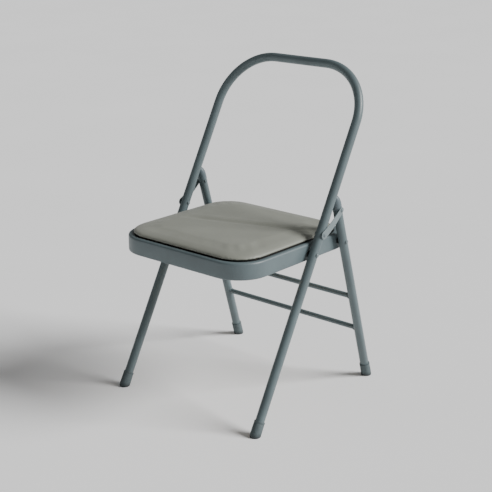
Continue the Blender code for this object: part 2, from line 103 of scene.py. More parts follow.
# Pad: how far in from the pan's face, and how high above the ledge
PAD_SIDE = ((0.0180, 0.0084), (0.0150, 0.0088), (0.0112, 0.0096), (0.0102, 0.0112), (0.0106, 0.0133),
            (0.0140, 0.0163), (0.0220, 0.0196), (0.0320, 0.0223), (0.0460, 0.0240), (0.0900, 0.0248))
PAD_VOXEL = 0.004
PAD_FRAMES = 20
PAD_PRESSURE = 4.0
PAD_CAP = 0.0030
TAUT_EDGE = 0.030
SWELL_EASE = 0.060
BOARD_BOTTOM = 0.0003
HEM_EDGE = 0.0425
HEM_WIDTH = 0.0170
STAPLE_SPACING = 0.040
STAPLE_WIDTH = 0.010
STAPLE_WIRE = 0.0005

# The pad's long crease, as a line across it, with a low ridge beside it
CREASE_MIDDLE_Y = -0.0335
CREASE_SLOPE = 0.34
CREASE_DEPTH = 0.0034
CREASE_WIDTH = 0.0100
CREASE_LEFT_END = -0.150
RIDGE_HEIGHT = 0.0010
RIDGE_AWAY = 0.020
RIDGE_WIDTH = 0.012

# Short wrinkles where the crease meets the right-hand side
WRINKLE_HEIGHT = 0.0006
WRINKLE_SPACING = 0.020
WRINKLE_SLANT = 0.75
WRINKLE_X = 0.160
WRINKLE_Y = 0.030
WRINKLE_AREA = 0.0014

# Studio
FLOOR_SIZE = 40
CAMERA_AIM = Vector((0, 0.0058, 0.3596))
CAMERA_AZIMUTH = radians(39.93)
CAMERA_ELEVATION = radians(18.09)
CAMERA_DISTANCE = 2.7414
CAMERA_LENS = 81.6
KEY_PLACE = (2.4, 1.45, 2.3)
KEY_SPREAD = 28
KEY_STRENGTH = 5.0
AIR_STRENGTH = 0.20

ROUND = 48
SIDES = ("right", "left")


# Materials

def colour(code):
    """A hex sRGB colour as linear light."""
    channels = [int(code[i:i + 2], 16) / 255 for i in (0, 2, 4)]
    return [c / 12.92 if c <= 0.04045 else ((c + 0.055) / 1.055) ** 2.4 for c in channels] + [1.0]


def add(tree, kind, inputs=None, **settings):
    """Add a node with its settings; an input given a socket is linked, any other value is set."""
    node = tree.nodes.new(kind)
    for key, value in settings.items():
        setattr(node, key, value)
    for key, value in (inputs or {}).items():
        if isinstance(value, bpy.types.NodeSocket):
            tree.links.new(value, node.inputs[key])
        else:
            node.inputs[key].default_value = value
    return node


def ramp(tree, factor, stops):
    """A colour ramp through (position, hex colour) stops."""
    node = add(tree, "ShaderNodeValToRGB", {"Fac": factor})
    points = node.color_ramp.elements
    while len(points) < len(stops):
        points.new(0.5)
    for point, (position, code) in zip(points, stops):
        point.position = position
        point.color = colour(code)
    return node.outputs["Color"]


def surface(name, **constants):
    """A Principled material and its tree, shader and Object coordinates."""
    made = bpy.data.materials.new(name)
    made.use_nodes = True
    tree = made.node_tree
    shader = tree.nodes["Principled BSDF"]
    for key, value in constants.items():
        shader.inputs[key.replace("_", " ")].default_value = value
    place = add(tree, "ShaderNodeTexCoord").outputs["Object"]
    return made, tree, shader, place


def rough(tree, factor, low, high):
    """A roughness that follows a pattern."""
    return add(tree, "ShaderNodeMapRange", {"Value": factor, "To Min": low, "To Max": high}).outputs["Result"]


def powder_coat(name, dark, light, peel=0.10):
    """Polyester powder coat, baked on steel: satin, with the slight orange peel of melted powder.

    Real peel is 1 to 2 mm across; 2.5 mm is used so that it shows.
    """
    made, tree, shader, place = surface(name, IOR=1.5)
    cloudy = add(tree, "ShaderNodeTexNoise", {"Vector": place, "Scale": 14.0, "Detail": 3.0}).outputs["Fac"]
    peel_noise = add(tree, "ShaderNodeTexNoise", {"Vector": place, "Scale": 400.0, "Detail": 2.0}).outputs["Fac"]
    grain = add(tree, "ShaderNodeTexNoise", {"Vector": place, "Scale": 1400.0, "Detail": 1.0}).outputs["Fac"]
    tone = add(tree, "ShaderNodeMix", {"Factor": 0.25, "A": cloudy, "B": grain}, data_type="FLOAT")
    base = ramp(tree, tone.outputs["Result"], ((0.30, dark), (0.70, light)))
    bump = add(tree, "ShaderNodeBump", {"Strength": peel, "Distance": 0.0004, "Height": peel_noise})
    fine = add(tree, "ShaderNodeBump", {"Strength": 0.06, "Distance": 0.0001, "Height": grain,
                                       "Normal": bump.outputs["Normal"]})
    tree.links.new(base, shader.inputs["Base Color"])
    tree.links.new(rough(tree, peel_noise, 0.36, 0.50), shader.inputs["Roughness"])
    tree.links.new(fine.outputs["Normal"], shader.inputs["Normal"])
    return made


def coated_fabric():
    """Polyurethane leather on a knit backing: an embossed pebble grain under a thin satin skin.

    Real pebbles are about 1 mm; 1.6 mm is used so that they show.
    """
    made, tree, shader, place = surface("embossed_pu_leather", IOR=1.48, Sheen_Weight=0.08, Sheen_Roughness=0.5)
    pebbles = add(tree, "ShaderNodeTexVoronoi", {"Vector": place, "Scale": 620.0}, feature="SMOOTH_F1")
    drift = add(tree, "ShaderNodeTexNoise", {"Vector": place, "Scale": 9.0, "Detail": 4.0}).outputs["Fac"]
    creases = add(tree, "ShaderNodeTexNoise", {"Vector": place, "Scale": 60.0, "Detail": 5.0,
                                             "Distortion": 0.6}).outputs["Fac"]
    base = ramp(tree, drift, ((0.30, "84867C"), (0.70, "8F9187")))
    # The pebble valleys are painted up to a tenth darker, as painted shade in the grain.
    pebble_valley_shade = add(tree, "ShaderNodeMapRange", {"Value": pebbles.outputs["Distance"], "From Max": 0.9,
                                              "To Min": 1.0, "To Max": 0.90})
    shaded = add(tree, "ShaderNodeVectorMath", {0: base, "Scale": pebble_valley_shade.outputs["Result"]}, operation="SCALE")
    soft = add(tree, "ShaderNodeBump", {"Strength": 0.25, "Distance": 0.0010, "Height": creases})
    grain = add(tree, "ShaderNodeBump", {"Strength": 0.35, "Distance": 0.0003,
                                        "Height": pebbles.outputs["Distance"],
                                        "Normal": soft.outputs["Normal"]}, invert=True)
    tree.links.new(shaded.outputs["Vector"], shader.inputs["Base Color"])
    tree.links.new(rough(tree, creases, 0.42, 0.58), shader.inputs["Roughness"])
    tree.links.new(grain.outputs["Normal"], shader.inputs["Normal"])
    return made


def moulded_rubber():
    """Moulded rubber, matt and finely mottled, darker towards the sole."""
    made, tree, shader, place = surface("moulded_grey_rubber", IOR=1.52)
    mottle = add(tree, "ShaderNodeTexNoise", {"Vector": place, "Scale": 260.0, "Detail": 4.0}).outputs["Fac"]
    height = add(tree, "ShaderNodeSeparateXYZ", {"Vector": place}).outputs["Z"]
    rise = add(tree, "ShaderNodeMapRange", {"Value": height, "From Max": 0.012}).outputs["Result"]
    body = ramp(tree, mottle, ((0.3, "4A5557"), (0.7, "566265")))
    # The colour runs to near-black over the lowest 12 mm, darker towards the sole.
    base = add(tree, "ShaderNodeMix", {"Factor": rise, "A": colour("23292A"), "B": body}, data_type="RGBA")
    bump = add(tree, "ShaderNodeBump", {"Strength": 0.2, "Distance": 0.0003, "Height": mottle})
    tree.links.new(base.outputs["Result"], shader.inputs["Base Color"])
    tree.links.new(rough(tree, mottle, 0.62, 0.80), shader.inputs["Roughness"])
    tree.links.new(bump.outputs["Normal"], shader.inputs["Normal"])
    return made


def moulded_plastic(name, dark, light, low=0.42, high=0.55):
    """Injection-moulded plastic with the fine spark-eroded grain of its mould."""
    made, tree, shader, place = surface(name, IOR=1.49)
    grain = add(tree, "ShaderNodeTexNoise", {"Vector": place, "Scale": 900.0, "Detail": 2.0}).outputs["Fac"]
    bump = add(tree, "ShaderNodeBump", {"Strength": 0.15, "Distance": 0.0002, "Height": grain})
    tree.links.new(ramp(tree, grain, ((0.3, dark), (0.7, light))), shader.inputs["Base Color"])
    tree.links.new(rough(tree, grain, low, high), shader.inputs["Roughness"])
    tree.links.new(bump.outputs["Normal"], shader.inputs["Normal"])
    return made


def zinc_plate():
    """Bright zinc plating over rolled steel, with faint rolling lines and clouding."""
    made, tree, shader, place = surface("zinc_plated_steel", Metallic=1.0)
    stretched = add(tree, "ShaderNodeMapping", {"Vector": place, "Scale": (900.0, 40.0, 900.0)})
    lines = add(tree, "ShaderNodeTexNoise", {"Vector": stretched.outputs["Vector"], "Scale": 1.0,
                                           "Detail": 3.0}).outputs["Fac"]
    clouds = add(tree, "ShaderNodeTexNoise", {"Vector": place, "Scale": 90.0, "Detail": 3.0}).outputs["Fac"]
    bump = add(tree, "ShaderNodeBump", {"Strength": 0.1, "Distance": 0.0001, "Height": lines})
    tree.links.new(ramp(tree, clouds, ((0.3, "9A9FA0"), (0.7, "B4B8B8"))), shader.inputs["Base Color"])
    tree.links.new(rough(tree, lines, 0.28, 0.44), shader.inputs["Roughness"])
    tree.links.new(bump.outputs["Normal"], shader.inputs["Normal"])
    return made


def bare_plywood():
    """Rotary-cut poplar plywood, bare, with a long stretched grain."""
    made, tree, shader, place = surface("poplar_plywood", IOR=1.45)
    along = add(tree, "ShaderNodeMapping", {"Vector": place, "Scale": (6.0, 160.0, 6.0)})
    grain = add(tree, "ShaderNodeTexNoise", {"Vector": along.outputs["Vector"], "Scale": 1.0, "Detail": 6.0,
                                           "Distortion": 0.4}).outputs["Fac"]
    base = ramp(tree, grain, ((0.30, "A07F55"), (0.55, "B8976A"), (0.75, "C9AC80")))
    bump = add(tree, "ShaderNodeBump", {"Strength": 0.25, "Distance": 0.0004, "Height": grain})
    tree.links.new(base, shader.inputs["Base Color"])
    tree.links.new(rough(tree, grain, 0.66, 0.85), shader.inputs["Roughness"])
    tree.links.new(bump.outputs["Normal"], shader.inputs["Normal"])
    return made


def gap_shade_felt():
    """Needled nylon felt: black, fully matt, with a short fibre fuzz; it is painted shade for the dark gap round the
    pad.
    """
    made, tree, shader, place = surface("black_needle_felt", IOR=1.45, Sheen_Weight=0.05)
    fibres = add(tree, "ShaderNodeTexNoise", {"Vector": place, "Scale": 1100.0, "Detail": 3.0}).outputs["Fac"]
    bump = add(tree, "ShaderNodeBump", {"Strength": 0.4, "Distance": 0.0003, "Height": fibres})
    tree.links.new(ramp(tree, fibres, ((0.3, "0C0D0D"), (0.7, "161717"))), shader.inputs["Base Color"])
    tree.links.new(rough(tree, fibres, 0.88, 1.0), shader.inputs["Roughness"])
    tree.links.new(bump.outputs["Normal"], shader.inputs["Normal"])
    return made


def plain_floor():
    """A pale matt studio floor."""
    made, tree, shader, place = surface("matt_studio_floor", Roughness=0.9)
    tone = add(tree, "ShaderNodeTexNoise", {"Vector": place, "Scale": 1.5, "Detail": 2.0}).outputs["Fac"]
    tree.links.new(ramp(tree, tone, ((0.3, "FAFAFA"), (0.7, "FDFDFD"))), shader.inputs["Base Color"])
    return made


# Modelling by hand

def begin(name):
    """Name the new primitive, settle it into its mesh and open it for editing, all selected."""
    item = bpy.context.object
    item.name = name
    item.data.name = name
    bpy.ops.object.transform_apply(location=True, rotation=True, scale=True)
    bpy.ops.object.mode_set(mode="EDIT")
    bpy.ops.mesh.select_mode(type="VERT")
    bpy.ops.mesh.select_all(action="SELECT")
    return item


def pick(item, kind, test):
    """Select the parts of an open mesh that pass a test: kind is verts, edges or faces."""
    bpy.ops.mesh.select_all(action="DESELECT")
    bpy.ops.mesh.select_mode(type={"verts": "VERT", "edges": "EDGE", "faces": "FACE"}[kind])
    mesh = bmesh.from_edit_mesh(item.data)
    for part in getattr(mesh, kind):
        if test(part):
            part.select_set(True)
    mesh.select_flush_mode()
    bmesh.update_edit_mesh(item.data)


def draw_out(offset):
    """Extrude what is selected."""
    bpy.ops.mesh.extrude_region_move(TRANSFORM_OT_translate={"value": offset})


def close_edit(item):
    """Merge doubles, point the faces outwards and leave edit mode."""
    bpy.ops.mesh.select_all(action="SELECT")
    bpy.ops.mesh.remove_doubles(threshold=1e-6)
    bpy.ops.mesh.normals_make_consistent(inside=False)
    bpy.ops.object.mode_set(mode="OBJECT")
    return item


def only(item):
    """Make one object the selected and active one."""
    bpy.ops.object.select_all(action="DESELECT")
    item.select_set(True)
    bpy.context.view_layer.objects.active = item


def apply_modifier(item, kind, **settings):
    """Add a modifier with its settings and apply it."""
    only(item)
    modifier = item.modifiers.new(kind.lower(), kind)
    for key, value in settings.items():
        setattr(modifier, key, value)
    bpy.ops.object.modifier_apply(modifier=modifier.name)


def soften(item, width, segments=2, angle=35):
    """Round the sharp edges."""
    apply_modifier(item, "BEVEL", width=width, segments=segments, limit_method="ANGLE",
                   angle_limit=radians(angle), harden_normals=False)


def stand(item, world):
    """Move a piece that was modelled at the origin to its place, and settle it into its mesh."""
    only(item)
    item.matrix_world = world
    bpy.ops.object.transform_apply(location=True, rotation=True, scale=True)


def mirrored(item, name):
    """The left-hand copy of a right-hand piece, with its own mesh."""
    copy = item.copy()
    copy.data = item.data.copy()
    copy.name = name
    copy.data.name = name
    bpy.context.collection.objects.link(copy)
    only(copy)
    copy.scale = (-1, 1, 1)
    bpy.ops.object.transform_apply(location=True, rotation=True, scale=True)
    bpy.ops.object.mode_set(mode="EDIT")
    bpy.ops.mesh.select_all(action="SELECT")
    bpy.ops.mesh.normals_make_consistent(inside=False)
    bpy.ops.object.mode_set(mode="OBJECT")
    return copy


def hand_over(item, body, slot, finish, *nodes, angle=35):
    """Give a finished piece its smooth shading, its material and its body, and hide the nodes it stands for; the slot
    is not used.
    """
    only(item)
    bpy.ops.object.shade_smooth_by_angle(angle=radians(angle))
    item.data.materials.clear()
    item.data.materials.append(finish)
    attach(item, body)
    if nodes:
        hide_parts(*nodes)


def pair(item, name, body, slot, finish, node=None, angle=35):
    """Hand over a right-hand piece and its mirrored left-hand copy."""
    for side in SIDES:
        piece = item if side == "right" else mirrored(item, name + "_left")
        piece.name = f"{name}_{side}"
        nodes = [f"{node}_{side}"] if node else []
        hand_over(piece, body.replace("SIDE", side), slot, finish, *nodes, angle=angle)


def turned(name, profile, sides=ROUND):
    """A closed round piece on +Z, grown from its first ring through (radius, height) steps."""
    radius, height = profile[0]
    bpy.ops.mesh.primitive_circle_add(vertices=sides, radius=radius, fill_type="NGON", location=(0, 0, height))
    item = begin(name)
    for next_radius, next_height in profile[1:]:
        draw_out((0, 0, next_height - height))
        scale = next_radius / radius
        bpy.ops.transform.resize(value=(scale, scale, 1))
        radius, height = next_radius, next_height
    return close_edit(item)


def quarter(radius, rise, base, steps=6, tip=0.06):
    """Dome steps from full radius up to a small flat tip."""
    turns = [pi / 2 * i / steps for i in range(1, steps + 1)]
    return [(max(radius * cos(turn), tip * radius), base + rise * sin(turn)) for turn in turns]


# Places

def front_frame_at(distance):
    """A point on the right front leg's centre line."""
    return Vector((HALF_WIDTH, FRONT_SOLE.y + distance * sin(FRONT_LEAN), distance * cos(FRONT_LEAN)))


def rear_at(distance):
    """A point on the right rear leg's centre line."""
    spread = REAR_SOLE.x + (HALF_WIDTH - REAR_SOLE.x) * distance / REAR_LENGTH
    return Vector((spread, REAR_SOLE.y + distance * sin(REAR_LEAN), distance * cos(REAR_LEAN)))


def along_leg(point_at):
    """The matrix that stands a piece on a leg's centre line."""
    direction = (point_at(1) - point_at(0)).normalized()
    across = Vector((1, 0, 0))
    across = (across - across.dot(direction) * direction).normalized()
    turn = Matrix((across, direction.cross(across), direction)).transposed().to_4x4()
    return Matrix.Translation(point_at(0)) @ turn


def seat_tilt():
    """The seat's backward slope, about the pan's front bottom edge."""
    edge = Vector((0, PAN_FRONT_Y, PAN_BOTTOM))
    return Matrix.Translation(edge) @ Matrix.Rotation(-SEAT_TILT, 4, "X") @ Matrix.Translation(-edge)


# Tube frame

def hoop_tube():
    """One tube: up the left leg, round two bends and down the right leg."""
    bend_height = HOOP_LENGTH - HOOP_CORNER
    bend_x = HALF_WIDTH - HOOP_CORNER
    straight = bend_height - TUBE_START
    bpy.ops.mesh.primitive_circle_add(vertices=ROUND, radius=TUBE_RADIUS, location=(-HALF_WIDTH, 0, TUBE_START))
    item = begin("hoop_tube")
    draw_out((0, 0, straight))
    bpy.ops.mesh.spin(steps=24, angle=-pi / 2, center=(-bend_x, 0, bend_height), axis=(0, 1, 0))
    draw_out((2 * bend_x, 0, 0))
    bpy.ops.mesh.spin(steps=24, angle=-pi / 2, center=(bend_x, 0, bend_height), axis=(0, 1, 0))
    draw_out((0, 0, -straight))
    close_edit(item)
    apply_modifier(item, "SOLIDIFY", thickness=TUBE_WALL, offset=-1)
    turn = Matrix.Rotation(-FRONT_LEAN, 4, "X")
    stand(item, Matrix.Translation((0, FRONT_SOLE.y, 0)) @ turn)
    return item


def rear_leg():
    """A straight tube with a slightly rounded top edge."""
    length = REAR_LENGTH - TUBE_START
    bpy.ops.mesh.primitive_cylinder_add(vertices=ROUND, radius=TUBE_RADIUS, depth=length, end_fill_type="NOTHING",
                                        location=(0, 0, TUBE_START + length / 2))
    item = close_edit(begin("rear_leg"))
    apply_modifier(item, "SOLIDIFY", thickness=TUBE_WALL, offset=-1)
    soften(item, 0.0003)
    stand(item, along_leg(rear_at))
    return item


def rubber_foot(name, point_at):
    """A moulded tip with a collar bead and a groove, its sole cut flat on the floor."""
    profile = [(0.0040, -0.0100), (0.0080, -0.0080), (0.0108, -0.0050), (0.0124, -0.0010), (FOOT_RADIUS, 0.0040),
               (FOOT_RADIUS, 0.0100), (0.0128, FOOT_TOP - 0.0065), (0.0125, FOOT_TOP - 0.0058),
               (0.0125, FOOT_TOP - 0.0050), (0.0130, FOOT_TOP - 0.0042), (0.0130, FOOT_TOP - 0.0010),
               (0.0125, FOOT_TOP), (TUBE_RADIUS + 0.0003, FOOT_TOP), (TUBE_RADIUS + 0.0003, FOOT_TOP - 0.0080)]
    item = turned(name, profile)
    stand(item, along_leg(point_at))
    bpy.ops.object.mode_set(mode="EDIT")
    bpy.ops.mesh.select_all(action="SELECT")
    bpy.ops.mesh.bisect(plane_co=(0, 0, 0), plane_no=(0, 0, 1), use_fill=True, clear_inner=True)
    close_edit(item)
    soften(item, 0.0004, angle=50)
    return item


def leg_cap():
    """A long domed cap whose sleeve grips the leg's end, coped to lie behind the front tube."""
    start = REAR_LENGTH - CAP_SLEEVE
    profile = [(CAP_RADIUS - 0.0005, start), (CAP_RADIUS, start + 0.0005), (CAP_RADIUS, REAR_LENGTH + 0.0048)]
    profile += quarter(CAP_RADIUS, CAP_LENGTH - 0.0048, REAR_LENGTH + 0.0048, steps=10)
    item = turned("leg_cap", profile)
    stand(item, along_leg(rear_at))
    middle = front_frame_at(HOOP_LENGTH / 2)
    bpy.ops.mesh.primitive_cylinder_add(vertices=96, radius=TUBE_RADIUS + CAP_CLEARANCE, depth=HOOP_LENGTH,
                                        location=middle, rotation=(-FRONT_LEAN, 0, 0))
    former = bpy.context.object
    apply_modifier(item, "BOOLEAN", operation="DIFFERENCE", solver="EXACT", object=former)
    bpy.data.objects.remove(former, do_unlink=True)
    return item


def stretcher(node):
    """A thin cross tube whose ends run into the legs, at its node's place."""
    low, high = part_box(node)
    middle = (low + high) / 2
    radius = (high.z - low.z) / 2
    reach = high.x + 0.004
    bpy.ops.mesh.primitive_cylinder_add(vertices=32, radius=radius, depth=2 * reach, location=middle,
                                        rotation=(0, pi / 2, 0), end_fill_type="NOTHING")
    item = close_edit(begin(node.replace("stretcher", "rung")))
    apply_modifier(item, "SOLIDIFY", thickness=0.001, offset=-1)
    return item


def weld_bead(node):
    """The fillet of weld where a rung meets the right leg's inner side."""
    low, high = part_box(node)
    middle = (low + high) / 2
    radius = (high.z - low.z) / 2
    distance = middle.z / cos(REAR_LEAN)
    leg_inner = rear_at(distance).x - TUBE_RADIUS
    bpy.ops.mesh.primitive_torus_add(major_radius=radius + 0.0003, minor_radius=0.0014, major_segments=40,
                                     minor_segments=10, location=(leg_inner + 0.0006, middle.y, middle.z),
                                     rotation=(0, pi / 2, 0))
    item = begin(node.replace("stretcher", "weld"))
    pick(item, "verts", lambda v: int(atan2(v.co.z - middle.z, v.co.y - middle.y) * 40 / pi + 80) % 4 == 0)
    bpy.ops.transform.translate(value=(-0.0003, 0, 0))
    return close_edit(item)


# Links and rivets

def link_strap():
    """A tapered strap with rolled edges and a shallow pressed rib.

    Its slight rearward bow still clears the front seat rivet when the chair is folded.
    """
    low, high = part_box("link_strap_right")
    lower = PIVOTS["link_right_fold"]
    rivet_low, rivet_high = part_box("link_rivet_rear_right")
    upper = (rivet_low + rivet_high) / 2
    along = Vector((0, upper.y - lower.y, upper.z - lower.z))
    length = along.length
    bpy.ops.mesh.primitive_circle_add(vertices=ROUND, radius=STRAP_LOWER_RADIUS, fill_type="NGON")
    item = begin("link_strap")
    pick(item, "verts", lambda v: v.co.x > 1e-5)
    taper = STRAP_UPPER_RADIUS / STRAP_LOWER_RADIUS
    bpy.ops.transform.resize(value=(taper, taper, 1), center_override=(0, 0, 0))
    bpy.ops.transform.translate(value=(length, 0, 0))
    cuts = 14
    for step in range(1, cuts):
        bpy.ops.mesh.select_all(action="SELECT")
        bpy.ops.mesh.bisect(plane_co=(length * step / cuts, 0, 0), plane_no=(1, 0, 0))
    for step in range(1, cuts):
        share = step / cuts
        pick(item, "verts", lambda v: abs(v.co.x - length * share) < 1e-5)
        bpy.ops.transform.translate(value=(0, -4 * STRAP_BOW * share * (1 - share), 0))
    bpy.ops.mesh.select_all(action="SELECT")
    draw_out((0, 0, high.x - low.x))
    pick(item, "faces", lambda f: f.normal.z > 0.9 and f.calc_center_median().z > 0.0005)
    bpy.ops.mesh.inset(thickness=0.0032)
    bpy.ops.transform.translate(value=(0, 0, STRAP_RIB))
    close_edit(item)
    soften(item, 0.0003, angle=40)
    direction = along.normalized()
    outward = Vector((1, 0, 0))
    turn = Matrix((direction, outward.cross(direction), outward)).transposed().to_4x4()
    stand(item, Matrix.Translation((low.x, lower.y, lower.z)) @ turn)
    return item


def rivet(node, head=True, tail=True):
    """A domed rivet at its node's place: peened tail, shank and head on +X."""
    low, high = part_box(node + "_right")
    middle = (low + high) / 2
    profile = [(SHANK_RADIUS, low.x)]
    if tail:
        profile = [(TAIL_RADIUS * 0.7, low.x), (TAIL_RADIUS, low.x + 0.0005), (TAIL_RADIUS, low.x + TAIL_HEIGHT),
                   (SHANK_RADIUS, low.x + TAIL_HEIGHT)]
    if head:
        seat = high.x - HEAD_HEIGHT
        profile += [(SHANK_RADIUS, seat), (HEAD_RADIUS, seat), (HEAD_RADIUS, seat + 0.0004)]
        profile += quarter(HEAD_RADIUS, HEAD_HEIGHT - 0.0004, seat + 0.0004)
    else:
        profile.append((SHANK_RADIUS, high.x))
    item = turned(node, profile, sides=32)
    stand(item, Matrix.Translation((0, middle.y, middle.z)) @ Matrix.Rotation(pi / 2, 4, "Y"))
    return item


# Seat

def add_outline(inset, height, segments=10):
    """Add one rounded outline of the seat to the open mesh, left selected."""
    x = PAN_HALF_WIDTH - inset
    front = PAN_FRONT_Y + inset
    rear = PAN_REAR_Y - inset
    bpy.ops.mesh.primitive_plane_add(size=2, location=(0, (front + rear) / 2, height))
    bpy.ops.transform.resize(value=(x, (rear - front) / 2, 1), center_override=(0, (front + rear) / 2, height))
    corners = ((front, FRONT_CORNER + FRONT_CORNER_RATE * inset), (rear, REAR_CORNER + REAR_CORNER_RATE * inset))
    item = bpy.context.object
    for y, radius in corners:
        pick(item, "verts", lambda v: abs(v.co.y - y) < 1e-5 and abs(abs(v.co.x) - x) < 1e-5
             and abs(v.co.z - height) < 1e-6)
        bpy.ops.mesh.bevel(affect="VERTICES", offset=radius, segments=segments, profile=0.5)
    pick(item, "faces", lambda f: abs(f.calc_center_median().z - height) < 1e-6 and len(f.verts) > 4)


def on_open_level(edge, heights, first):
    """Whether an edge with one face belongs to the two levels being bridged."""
    level = edge.verts[0].co.z
    if len(edge.link_faces) != 1:
        return False
    return abs(level - first) > 1e-6 or first in heights


def loft(name, levels, capped):
    """A shell through the seat's outline at each (inset, height), bridged one level at a time."""
    bpy.ops.mesh.primitive_plane_add(size=0.001)
    item = begin(name)
    bpy.ops.mesh.delete(type="VERT")
    previous = None
    for number, (inset, height) in enumerate(levels):
        add_outline(inset, height)
        end = capped and number in (0, len(levels) - 1)
        if not end:
            bpy.ops.mesh.delete(type="ONLY_FACE")
        if previous is not None:
            heights = (previous, height)
            pick(item, "edges", lambda e: (len(e.link_faces) < 1 or on_open_level(e, heights, levels[0][1]))
                 and min(abs(e.verts[0].co.z - h) for h in heights) < 1e-6)
            bpy.ops.mesh.bridge_edge_loops()
        previous = height
    return close_edit(item)


def seat_pan():
    """The pressed pan: hemmed ledge, step, rolled rim, wall and turned-in bottom lip."""
    edge = 0.0055
    lip = 0.0030
    levels = [(0.0420, LEDGE_Z - 0.0014), (0.0414, LEDGE_Z - 0.0002), (0.0400, LEDGE_Z),
              (0.0130, LEDGE_Z + 0.00001), (0.0121, LEDGE_Z + 0.0009), (0.0119, PAN_TOP - 0.0020),
              (0.0112, PAN_TOP - 0.0006), (0.0100, PAN_TOP - 0.00001), (edge, PAN_TOP)]
    for turn in (18, 36, 54, 72, 90):
        levels.append((edge - edge * sin(radians(turn)), PAN_TOP - edge + edge * cos(radians(turn))))
    for turn in (0, 25, 50, 75):
        levels.append((lip - lip * cos(radians(turn)), PAN_BOTTOM + lip - lip * sin(radians(turn))))
    levels += [(0.0034, PAN_BOTTOM), (0.0062, PAN_BOTTOM + 0.0003), (0.0070, PAN_BOTTOM + 0.0008)]
    item = loft("pressed_pan", levels, capped=False)
    apply_modifier(item, "SOLIDIFY", thickness=PAN_SHEET, offset=-1)
    stand(item, seat_tilt())
    return item


def swell(item, board_height):
    """Blow the pad up a little as cloth; the board's edge keeps it taut, and each point's rise is capped."""
    pinned = item.vertex_groups.new(name="held_on_the_board")
    low = [v.index for v in item.data.vertices if v.co.z < board_height]
    pinned.add(low, 1.0, "REPLACE")
    before = [v.co.copy() for v in item.data.vertices]
    only(item)
    modifier = item.modifiers.new("swell", "CLOTH")
    cloth = modifier.settings
    cloth.quality = 6
    cloth.use_pressure = True
    cloth.uniform_pressure_force = PAD_PRESSURE
    cloth.vertex_group_mass = pinned.name
    cloth.tension_stiffness = 15
    cloth.compression_stiffness = 15
    cloth.bending_stiffness = 12
    cloth.effector_weights.gravity = 0
    scene = bpy.context.scene
    for number in range(1, PAD_FRAMES + 1):
        scene.frame_set(number)
    bpy.ops.object.modifier_apply(modifier=modifier.name)
    for vertex, start in zip(item.data.vertices, before):
        move = vertex.co - start
        inner = min(PAN_HALF_WIDTH - abs(start.x), start.y - PAN_FRONT_Y, PAN_REAR_Y - start.y)
        move = Vector((0, 0, move.z)) * max(0.0, min(1.0, (inner - TAUT_EDGE) / SWELL_EASE))
        if move.length > PAD_CAP:
            move *= PAD_CAP / move.length
        vertex.co = start + move
    scene.frame_set(1)


def settle(item):
    """Sit-marks: one long shallow crease across the pad and short wrinkles beside its right end."""
    for vertex in item.data.vertices:
        x, y, z = vertex.co
        if z < LEDGE_Z + 0.014:
            continue
        inner = min(PAN_HALF_WIDTH - abs(x), y - PAN_FRONT_Y, PAN_REAR_Y - y)
        fade = max(0.0, min(1.0, (inner - 0.015) / 0.03)) * max(0.0, min(1.0, (x - CREASE_LEFT_END) / 0.06))
        across = (y - CREASE_MIDDLE_Y - CREASE_SLOPE * x) / hypot(1, CREASE_SLOPE)
        groove = CREASE_DEPTH * exp(-(across / CREASE_WIDTH) ** 2)
        ridge = RIDGE_HEIGHT * exp(-((across - RIDGE_AWAY) / RIDGE_WIDTH) ** 2)
        drop = groove - ridge
        near = exp(-((x - WRINKLE_X) ** 2 + (y - WRINKLE_Y) ** 2) / WRINKLE_AREA)
        wrinkle = WRINKLE_HEIGHT * sin((y - WRINKLE_SLANT * x) * 2 * pi / WRINKLE_SPACING) * near
        vertex.co.z = z - fade * drop + wrinkle * min(1.0, max(0.0, (inner - 0.012) / 0.02))


def cushion():
    """Foam pad in stretched leather: a crowned closed form with soft shoulders."""
    item = loft("seat_cushion", [(inset, LEDGE_Z + rise) for inset, rise in PAD_SIDE], capped=True)
    apply_modifier(item, "REMESH", mode="VOXEL", voxel_size=PAD_VOXEL)
    swell(item, LEDGE_Z + 0.011)
    apply_modifier(item, "SMOOTH", factor=0.5, iterations=6)
    apply_modifier(item, "SUBSURF", levels=1, render_levels=1)
    settle(item)
    stand(item, seat_tilt())
    return item


def edge_felt():
    """A black felt band round the board's edge, in the gap between the pad and the pan, as painted shade for that
    dark gap.
    """
    edge = LEDGE_Z + BOARD_BOTTOM + 0.0004
    levels = [(0.0152, edge), (0.0150, LEDGE_Z + 0.0040), (0.0152, LEDGE_Z + 0.0080), (0.0176, LEDGE_Z + 0.0098)]
    item = loft("edge_felt", levels, capped=False)
    apply_modifier(item, "SOLIDIFY", thickness=0.0004, offset=-1)
    stand(item, seat_tilt())
    return item


def turned_hem():
    """The cover's margin, turned under the board and left with a raw cut edge."""
    under = LEDGE_Z + BOARD_BOTTOM - 0.0001
    levels = [(HEM_EDGE, under), (HEM_EDGE + 0.4 * HEM_WIDTH, under - 0.00004),
              (HEM_EDGE + HEM_WIDTH, under - 0.00002)]
    item = loft("turned_hem", levels, capped=False)
    apply_modifier(item, "SOLIDIFY", thickness=0.0007, offset=0)
    move = Matrix.Translation((0, 0, -0.0004))
    stand(item, seat_tilt() @ move)
    return item


def staple():
    """One staple's crown, with its corners bent up into the board."""
    half = STAPLE_WIDTH / 2
    bpy.ops.mesh.primitive_circle_add(vertices=10, radius=STAPLE_WIRE, fill_type="NGON", location=(-half, 0, 0.0014))
    item = begin("staple")
    draw_out((0, 0, -0.0008))
    bpy.ops.mesh.spin(steps=4, angle=-pi / 2, center=(-half + 0.0007, 0, 0.0006), axis=(0, -1, 0))
    draw_out((2 * half - 0.0014, 0, 0))
    bpy.ops.mesh.spin(steps=4, angle=-pi / 2, center=(half - 0.0007, 0, 0.0006), axis=(0, -1, 0))
    draw_out((0, 0, 0.0008))
    return close_edit(item)


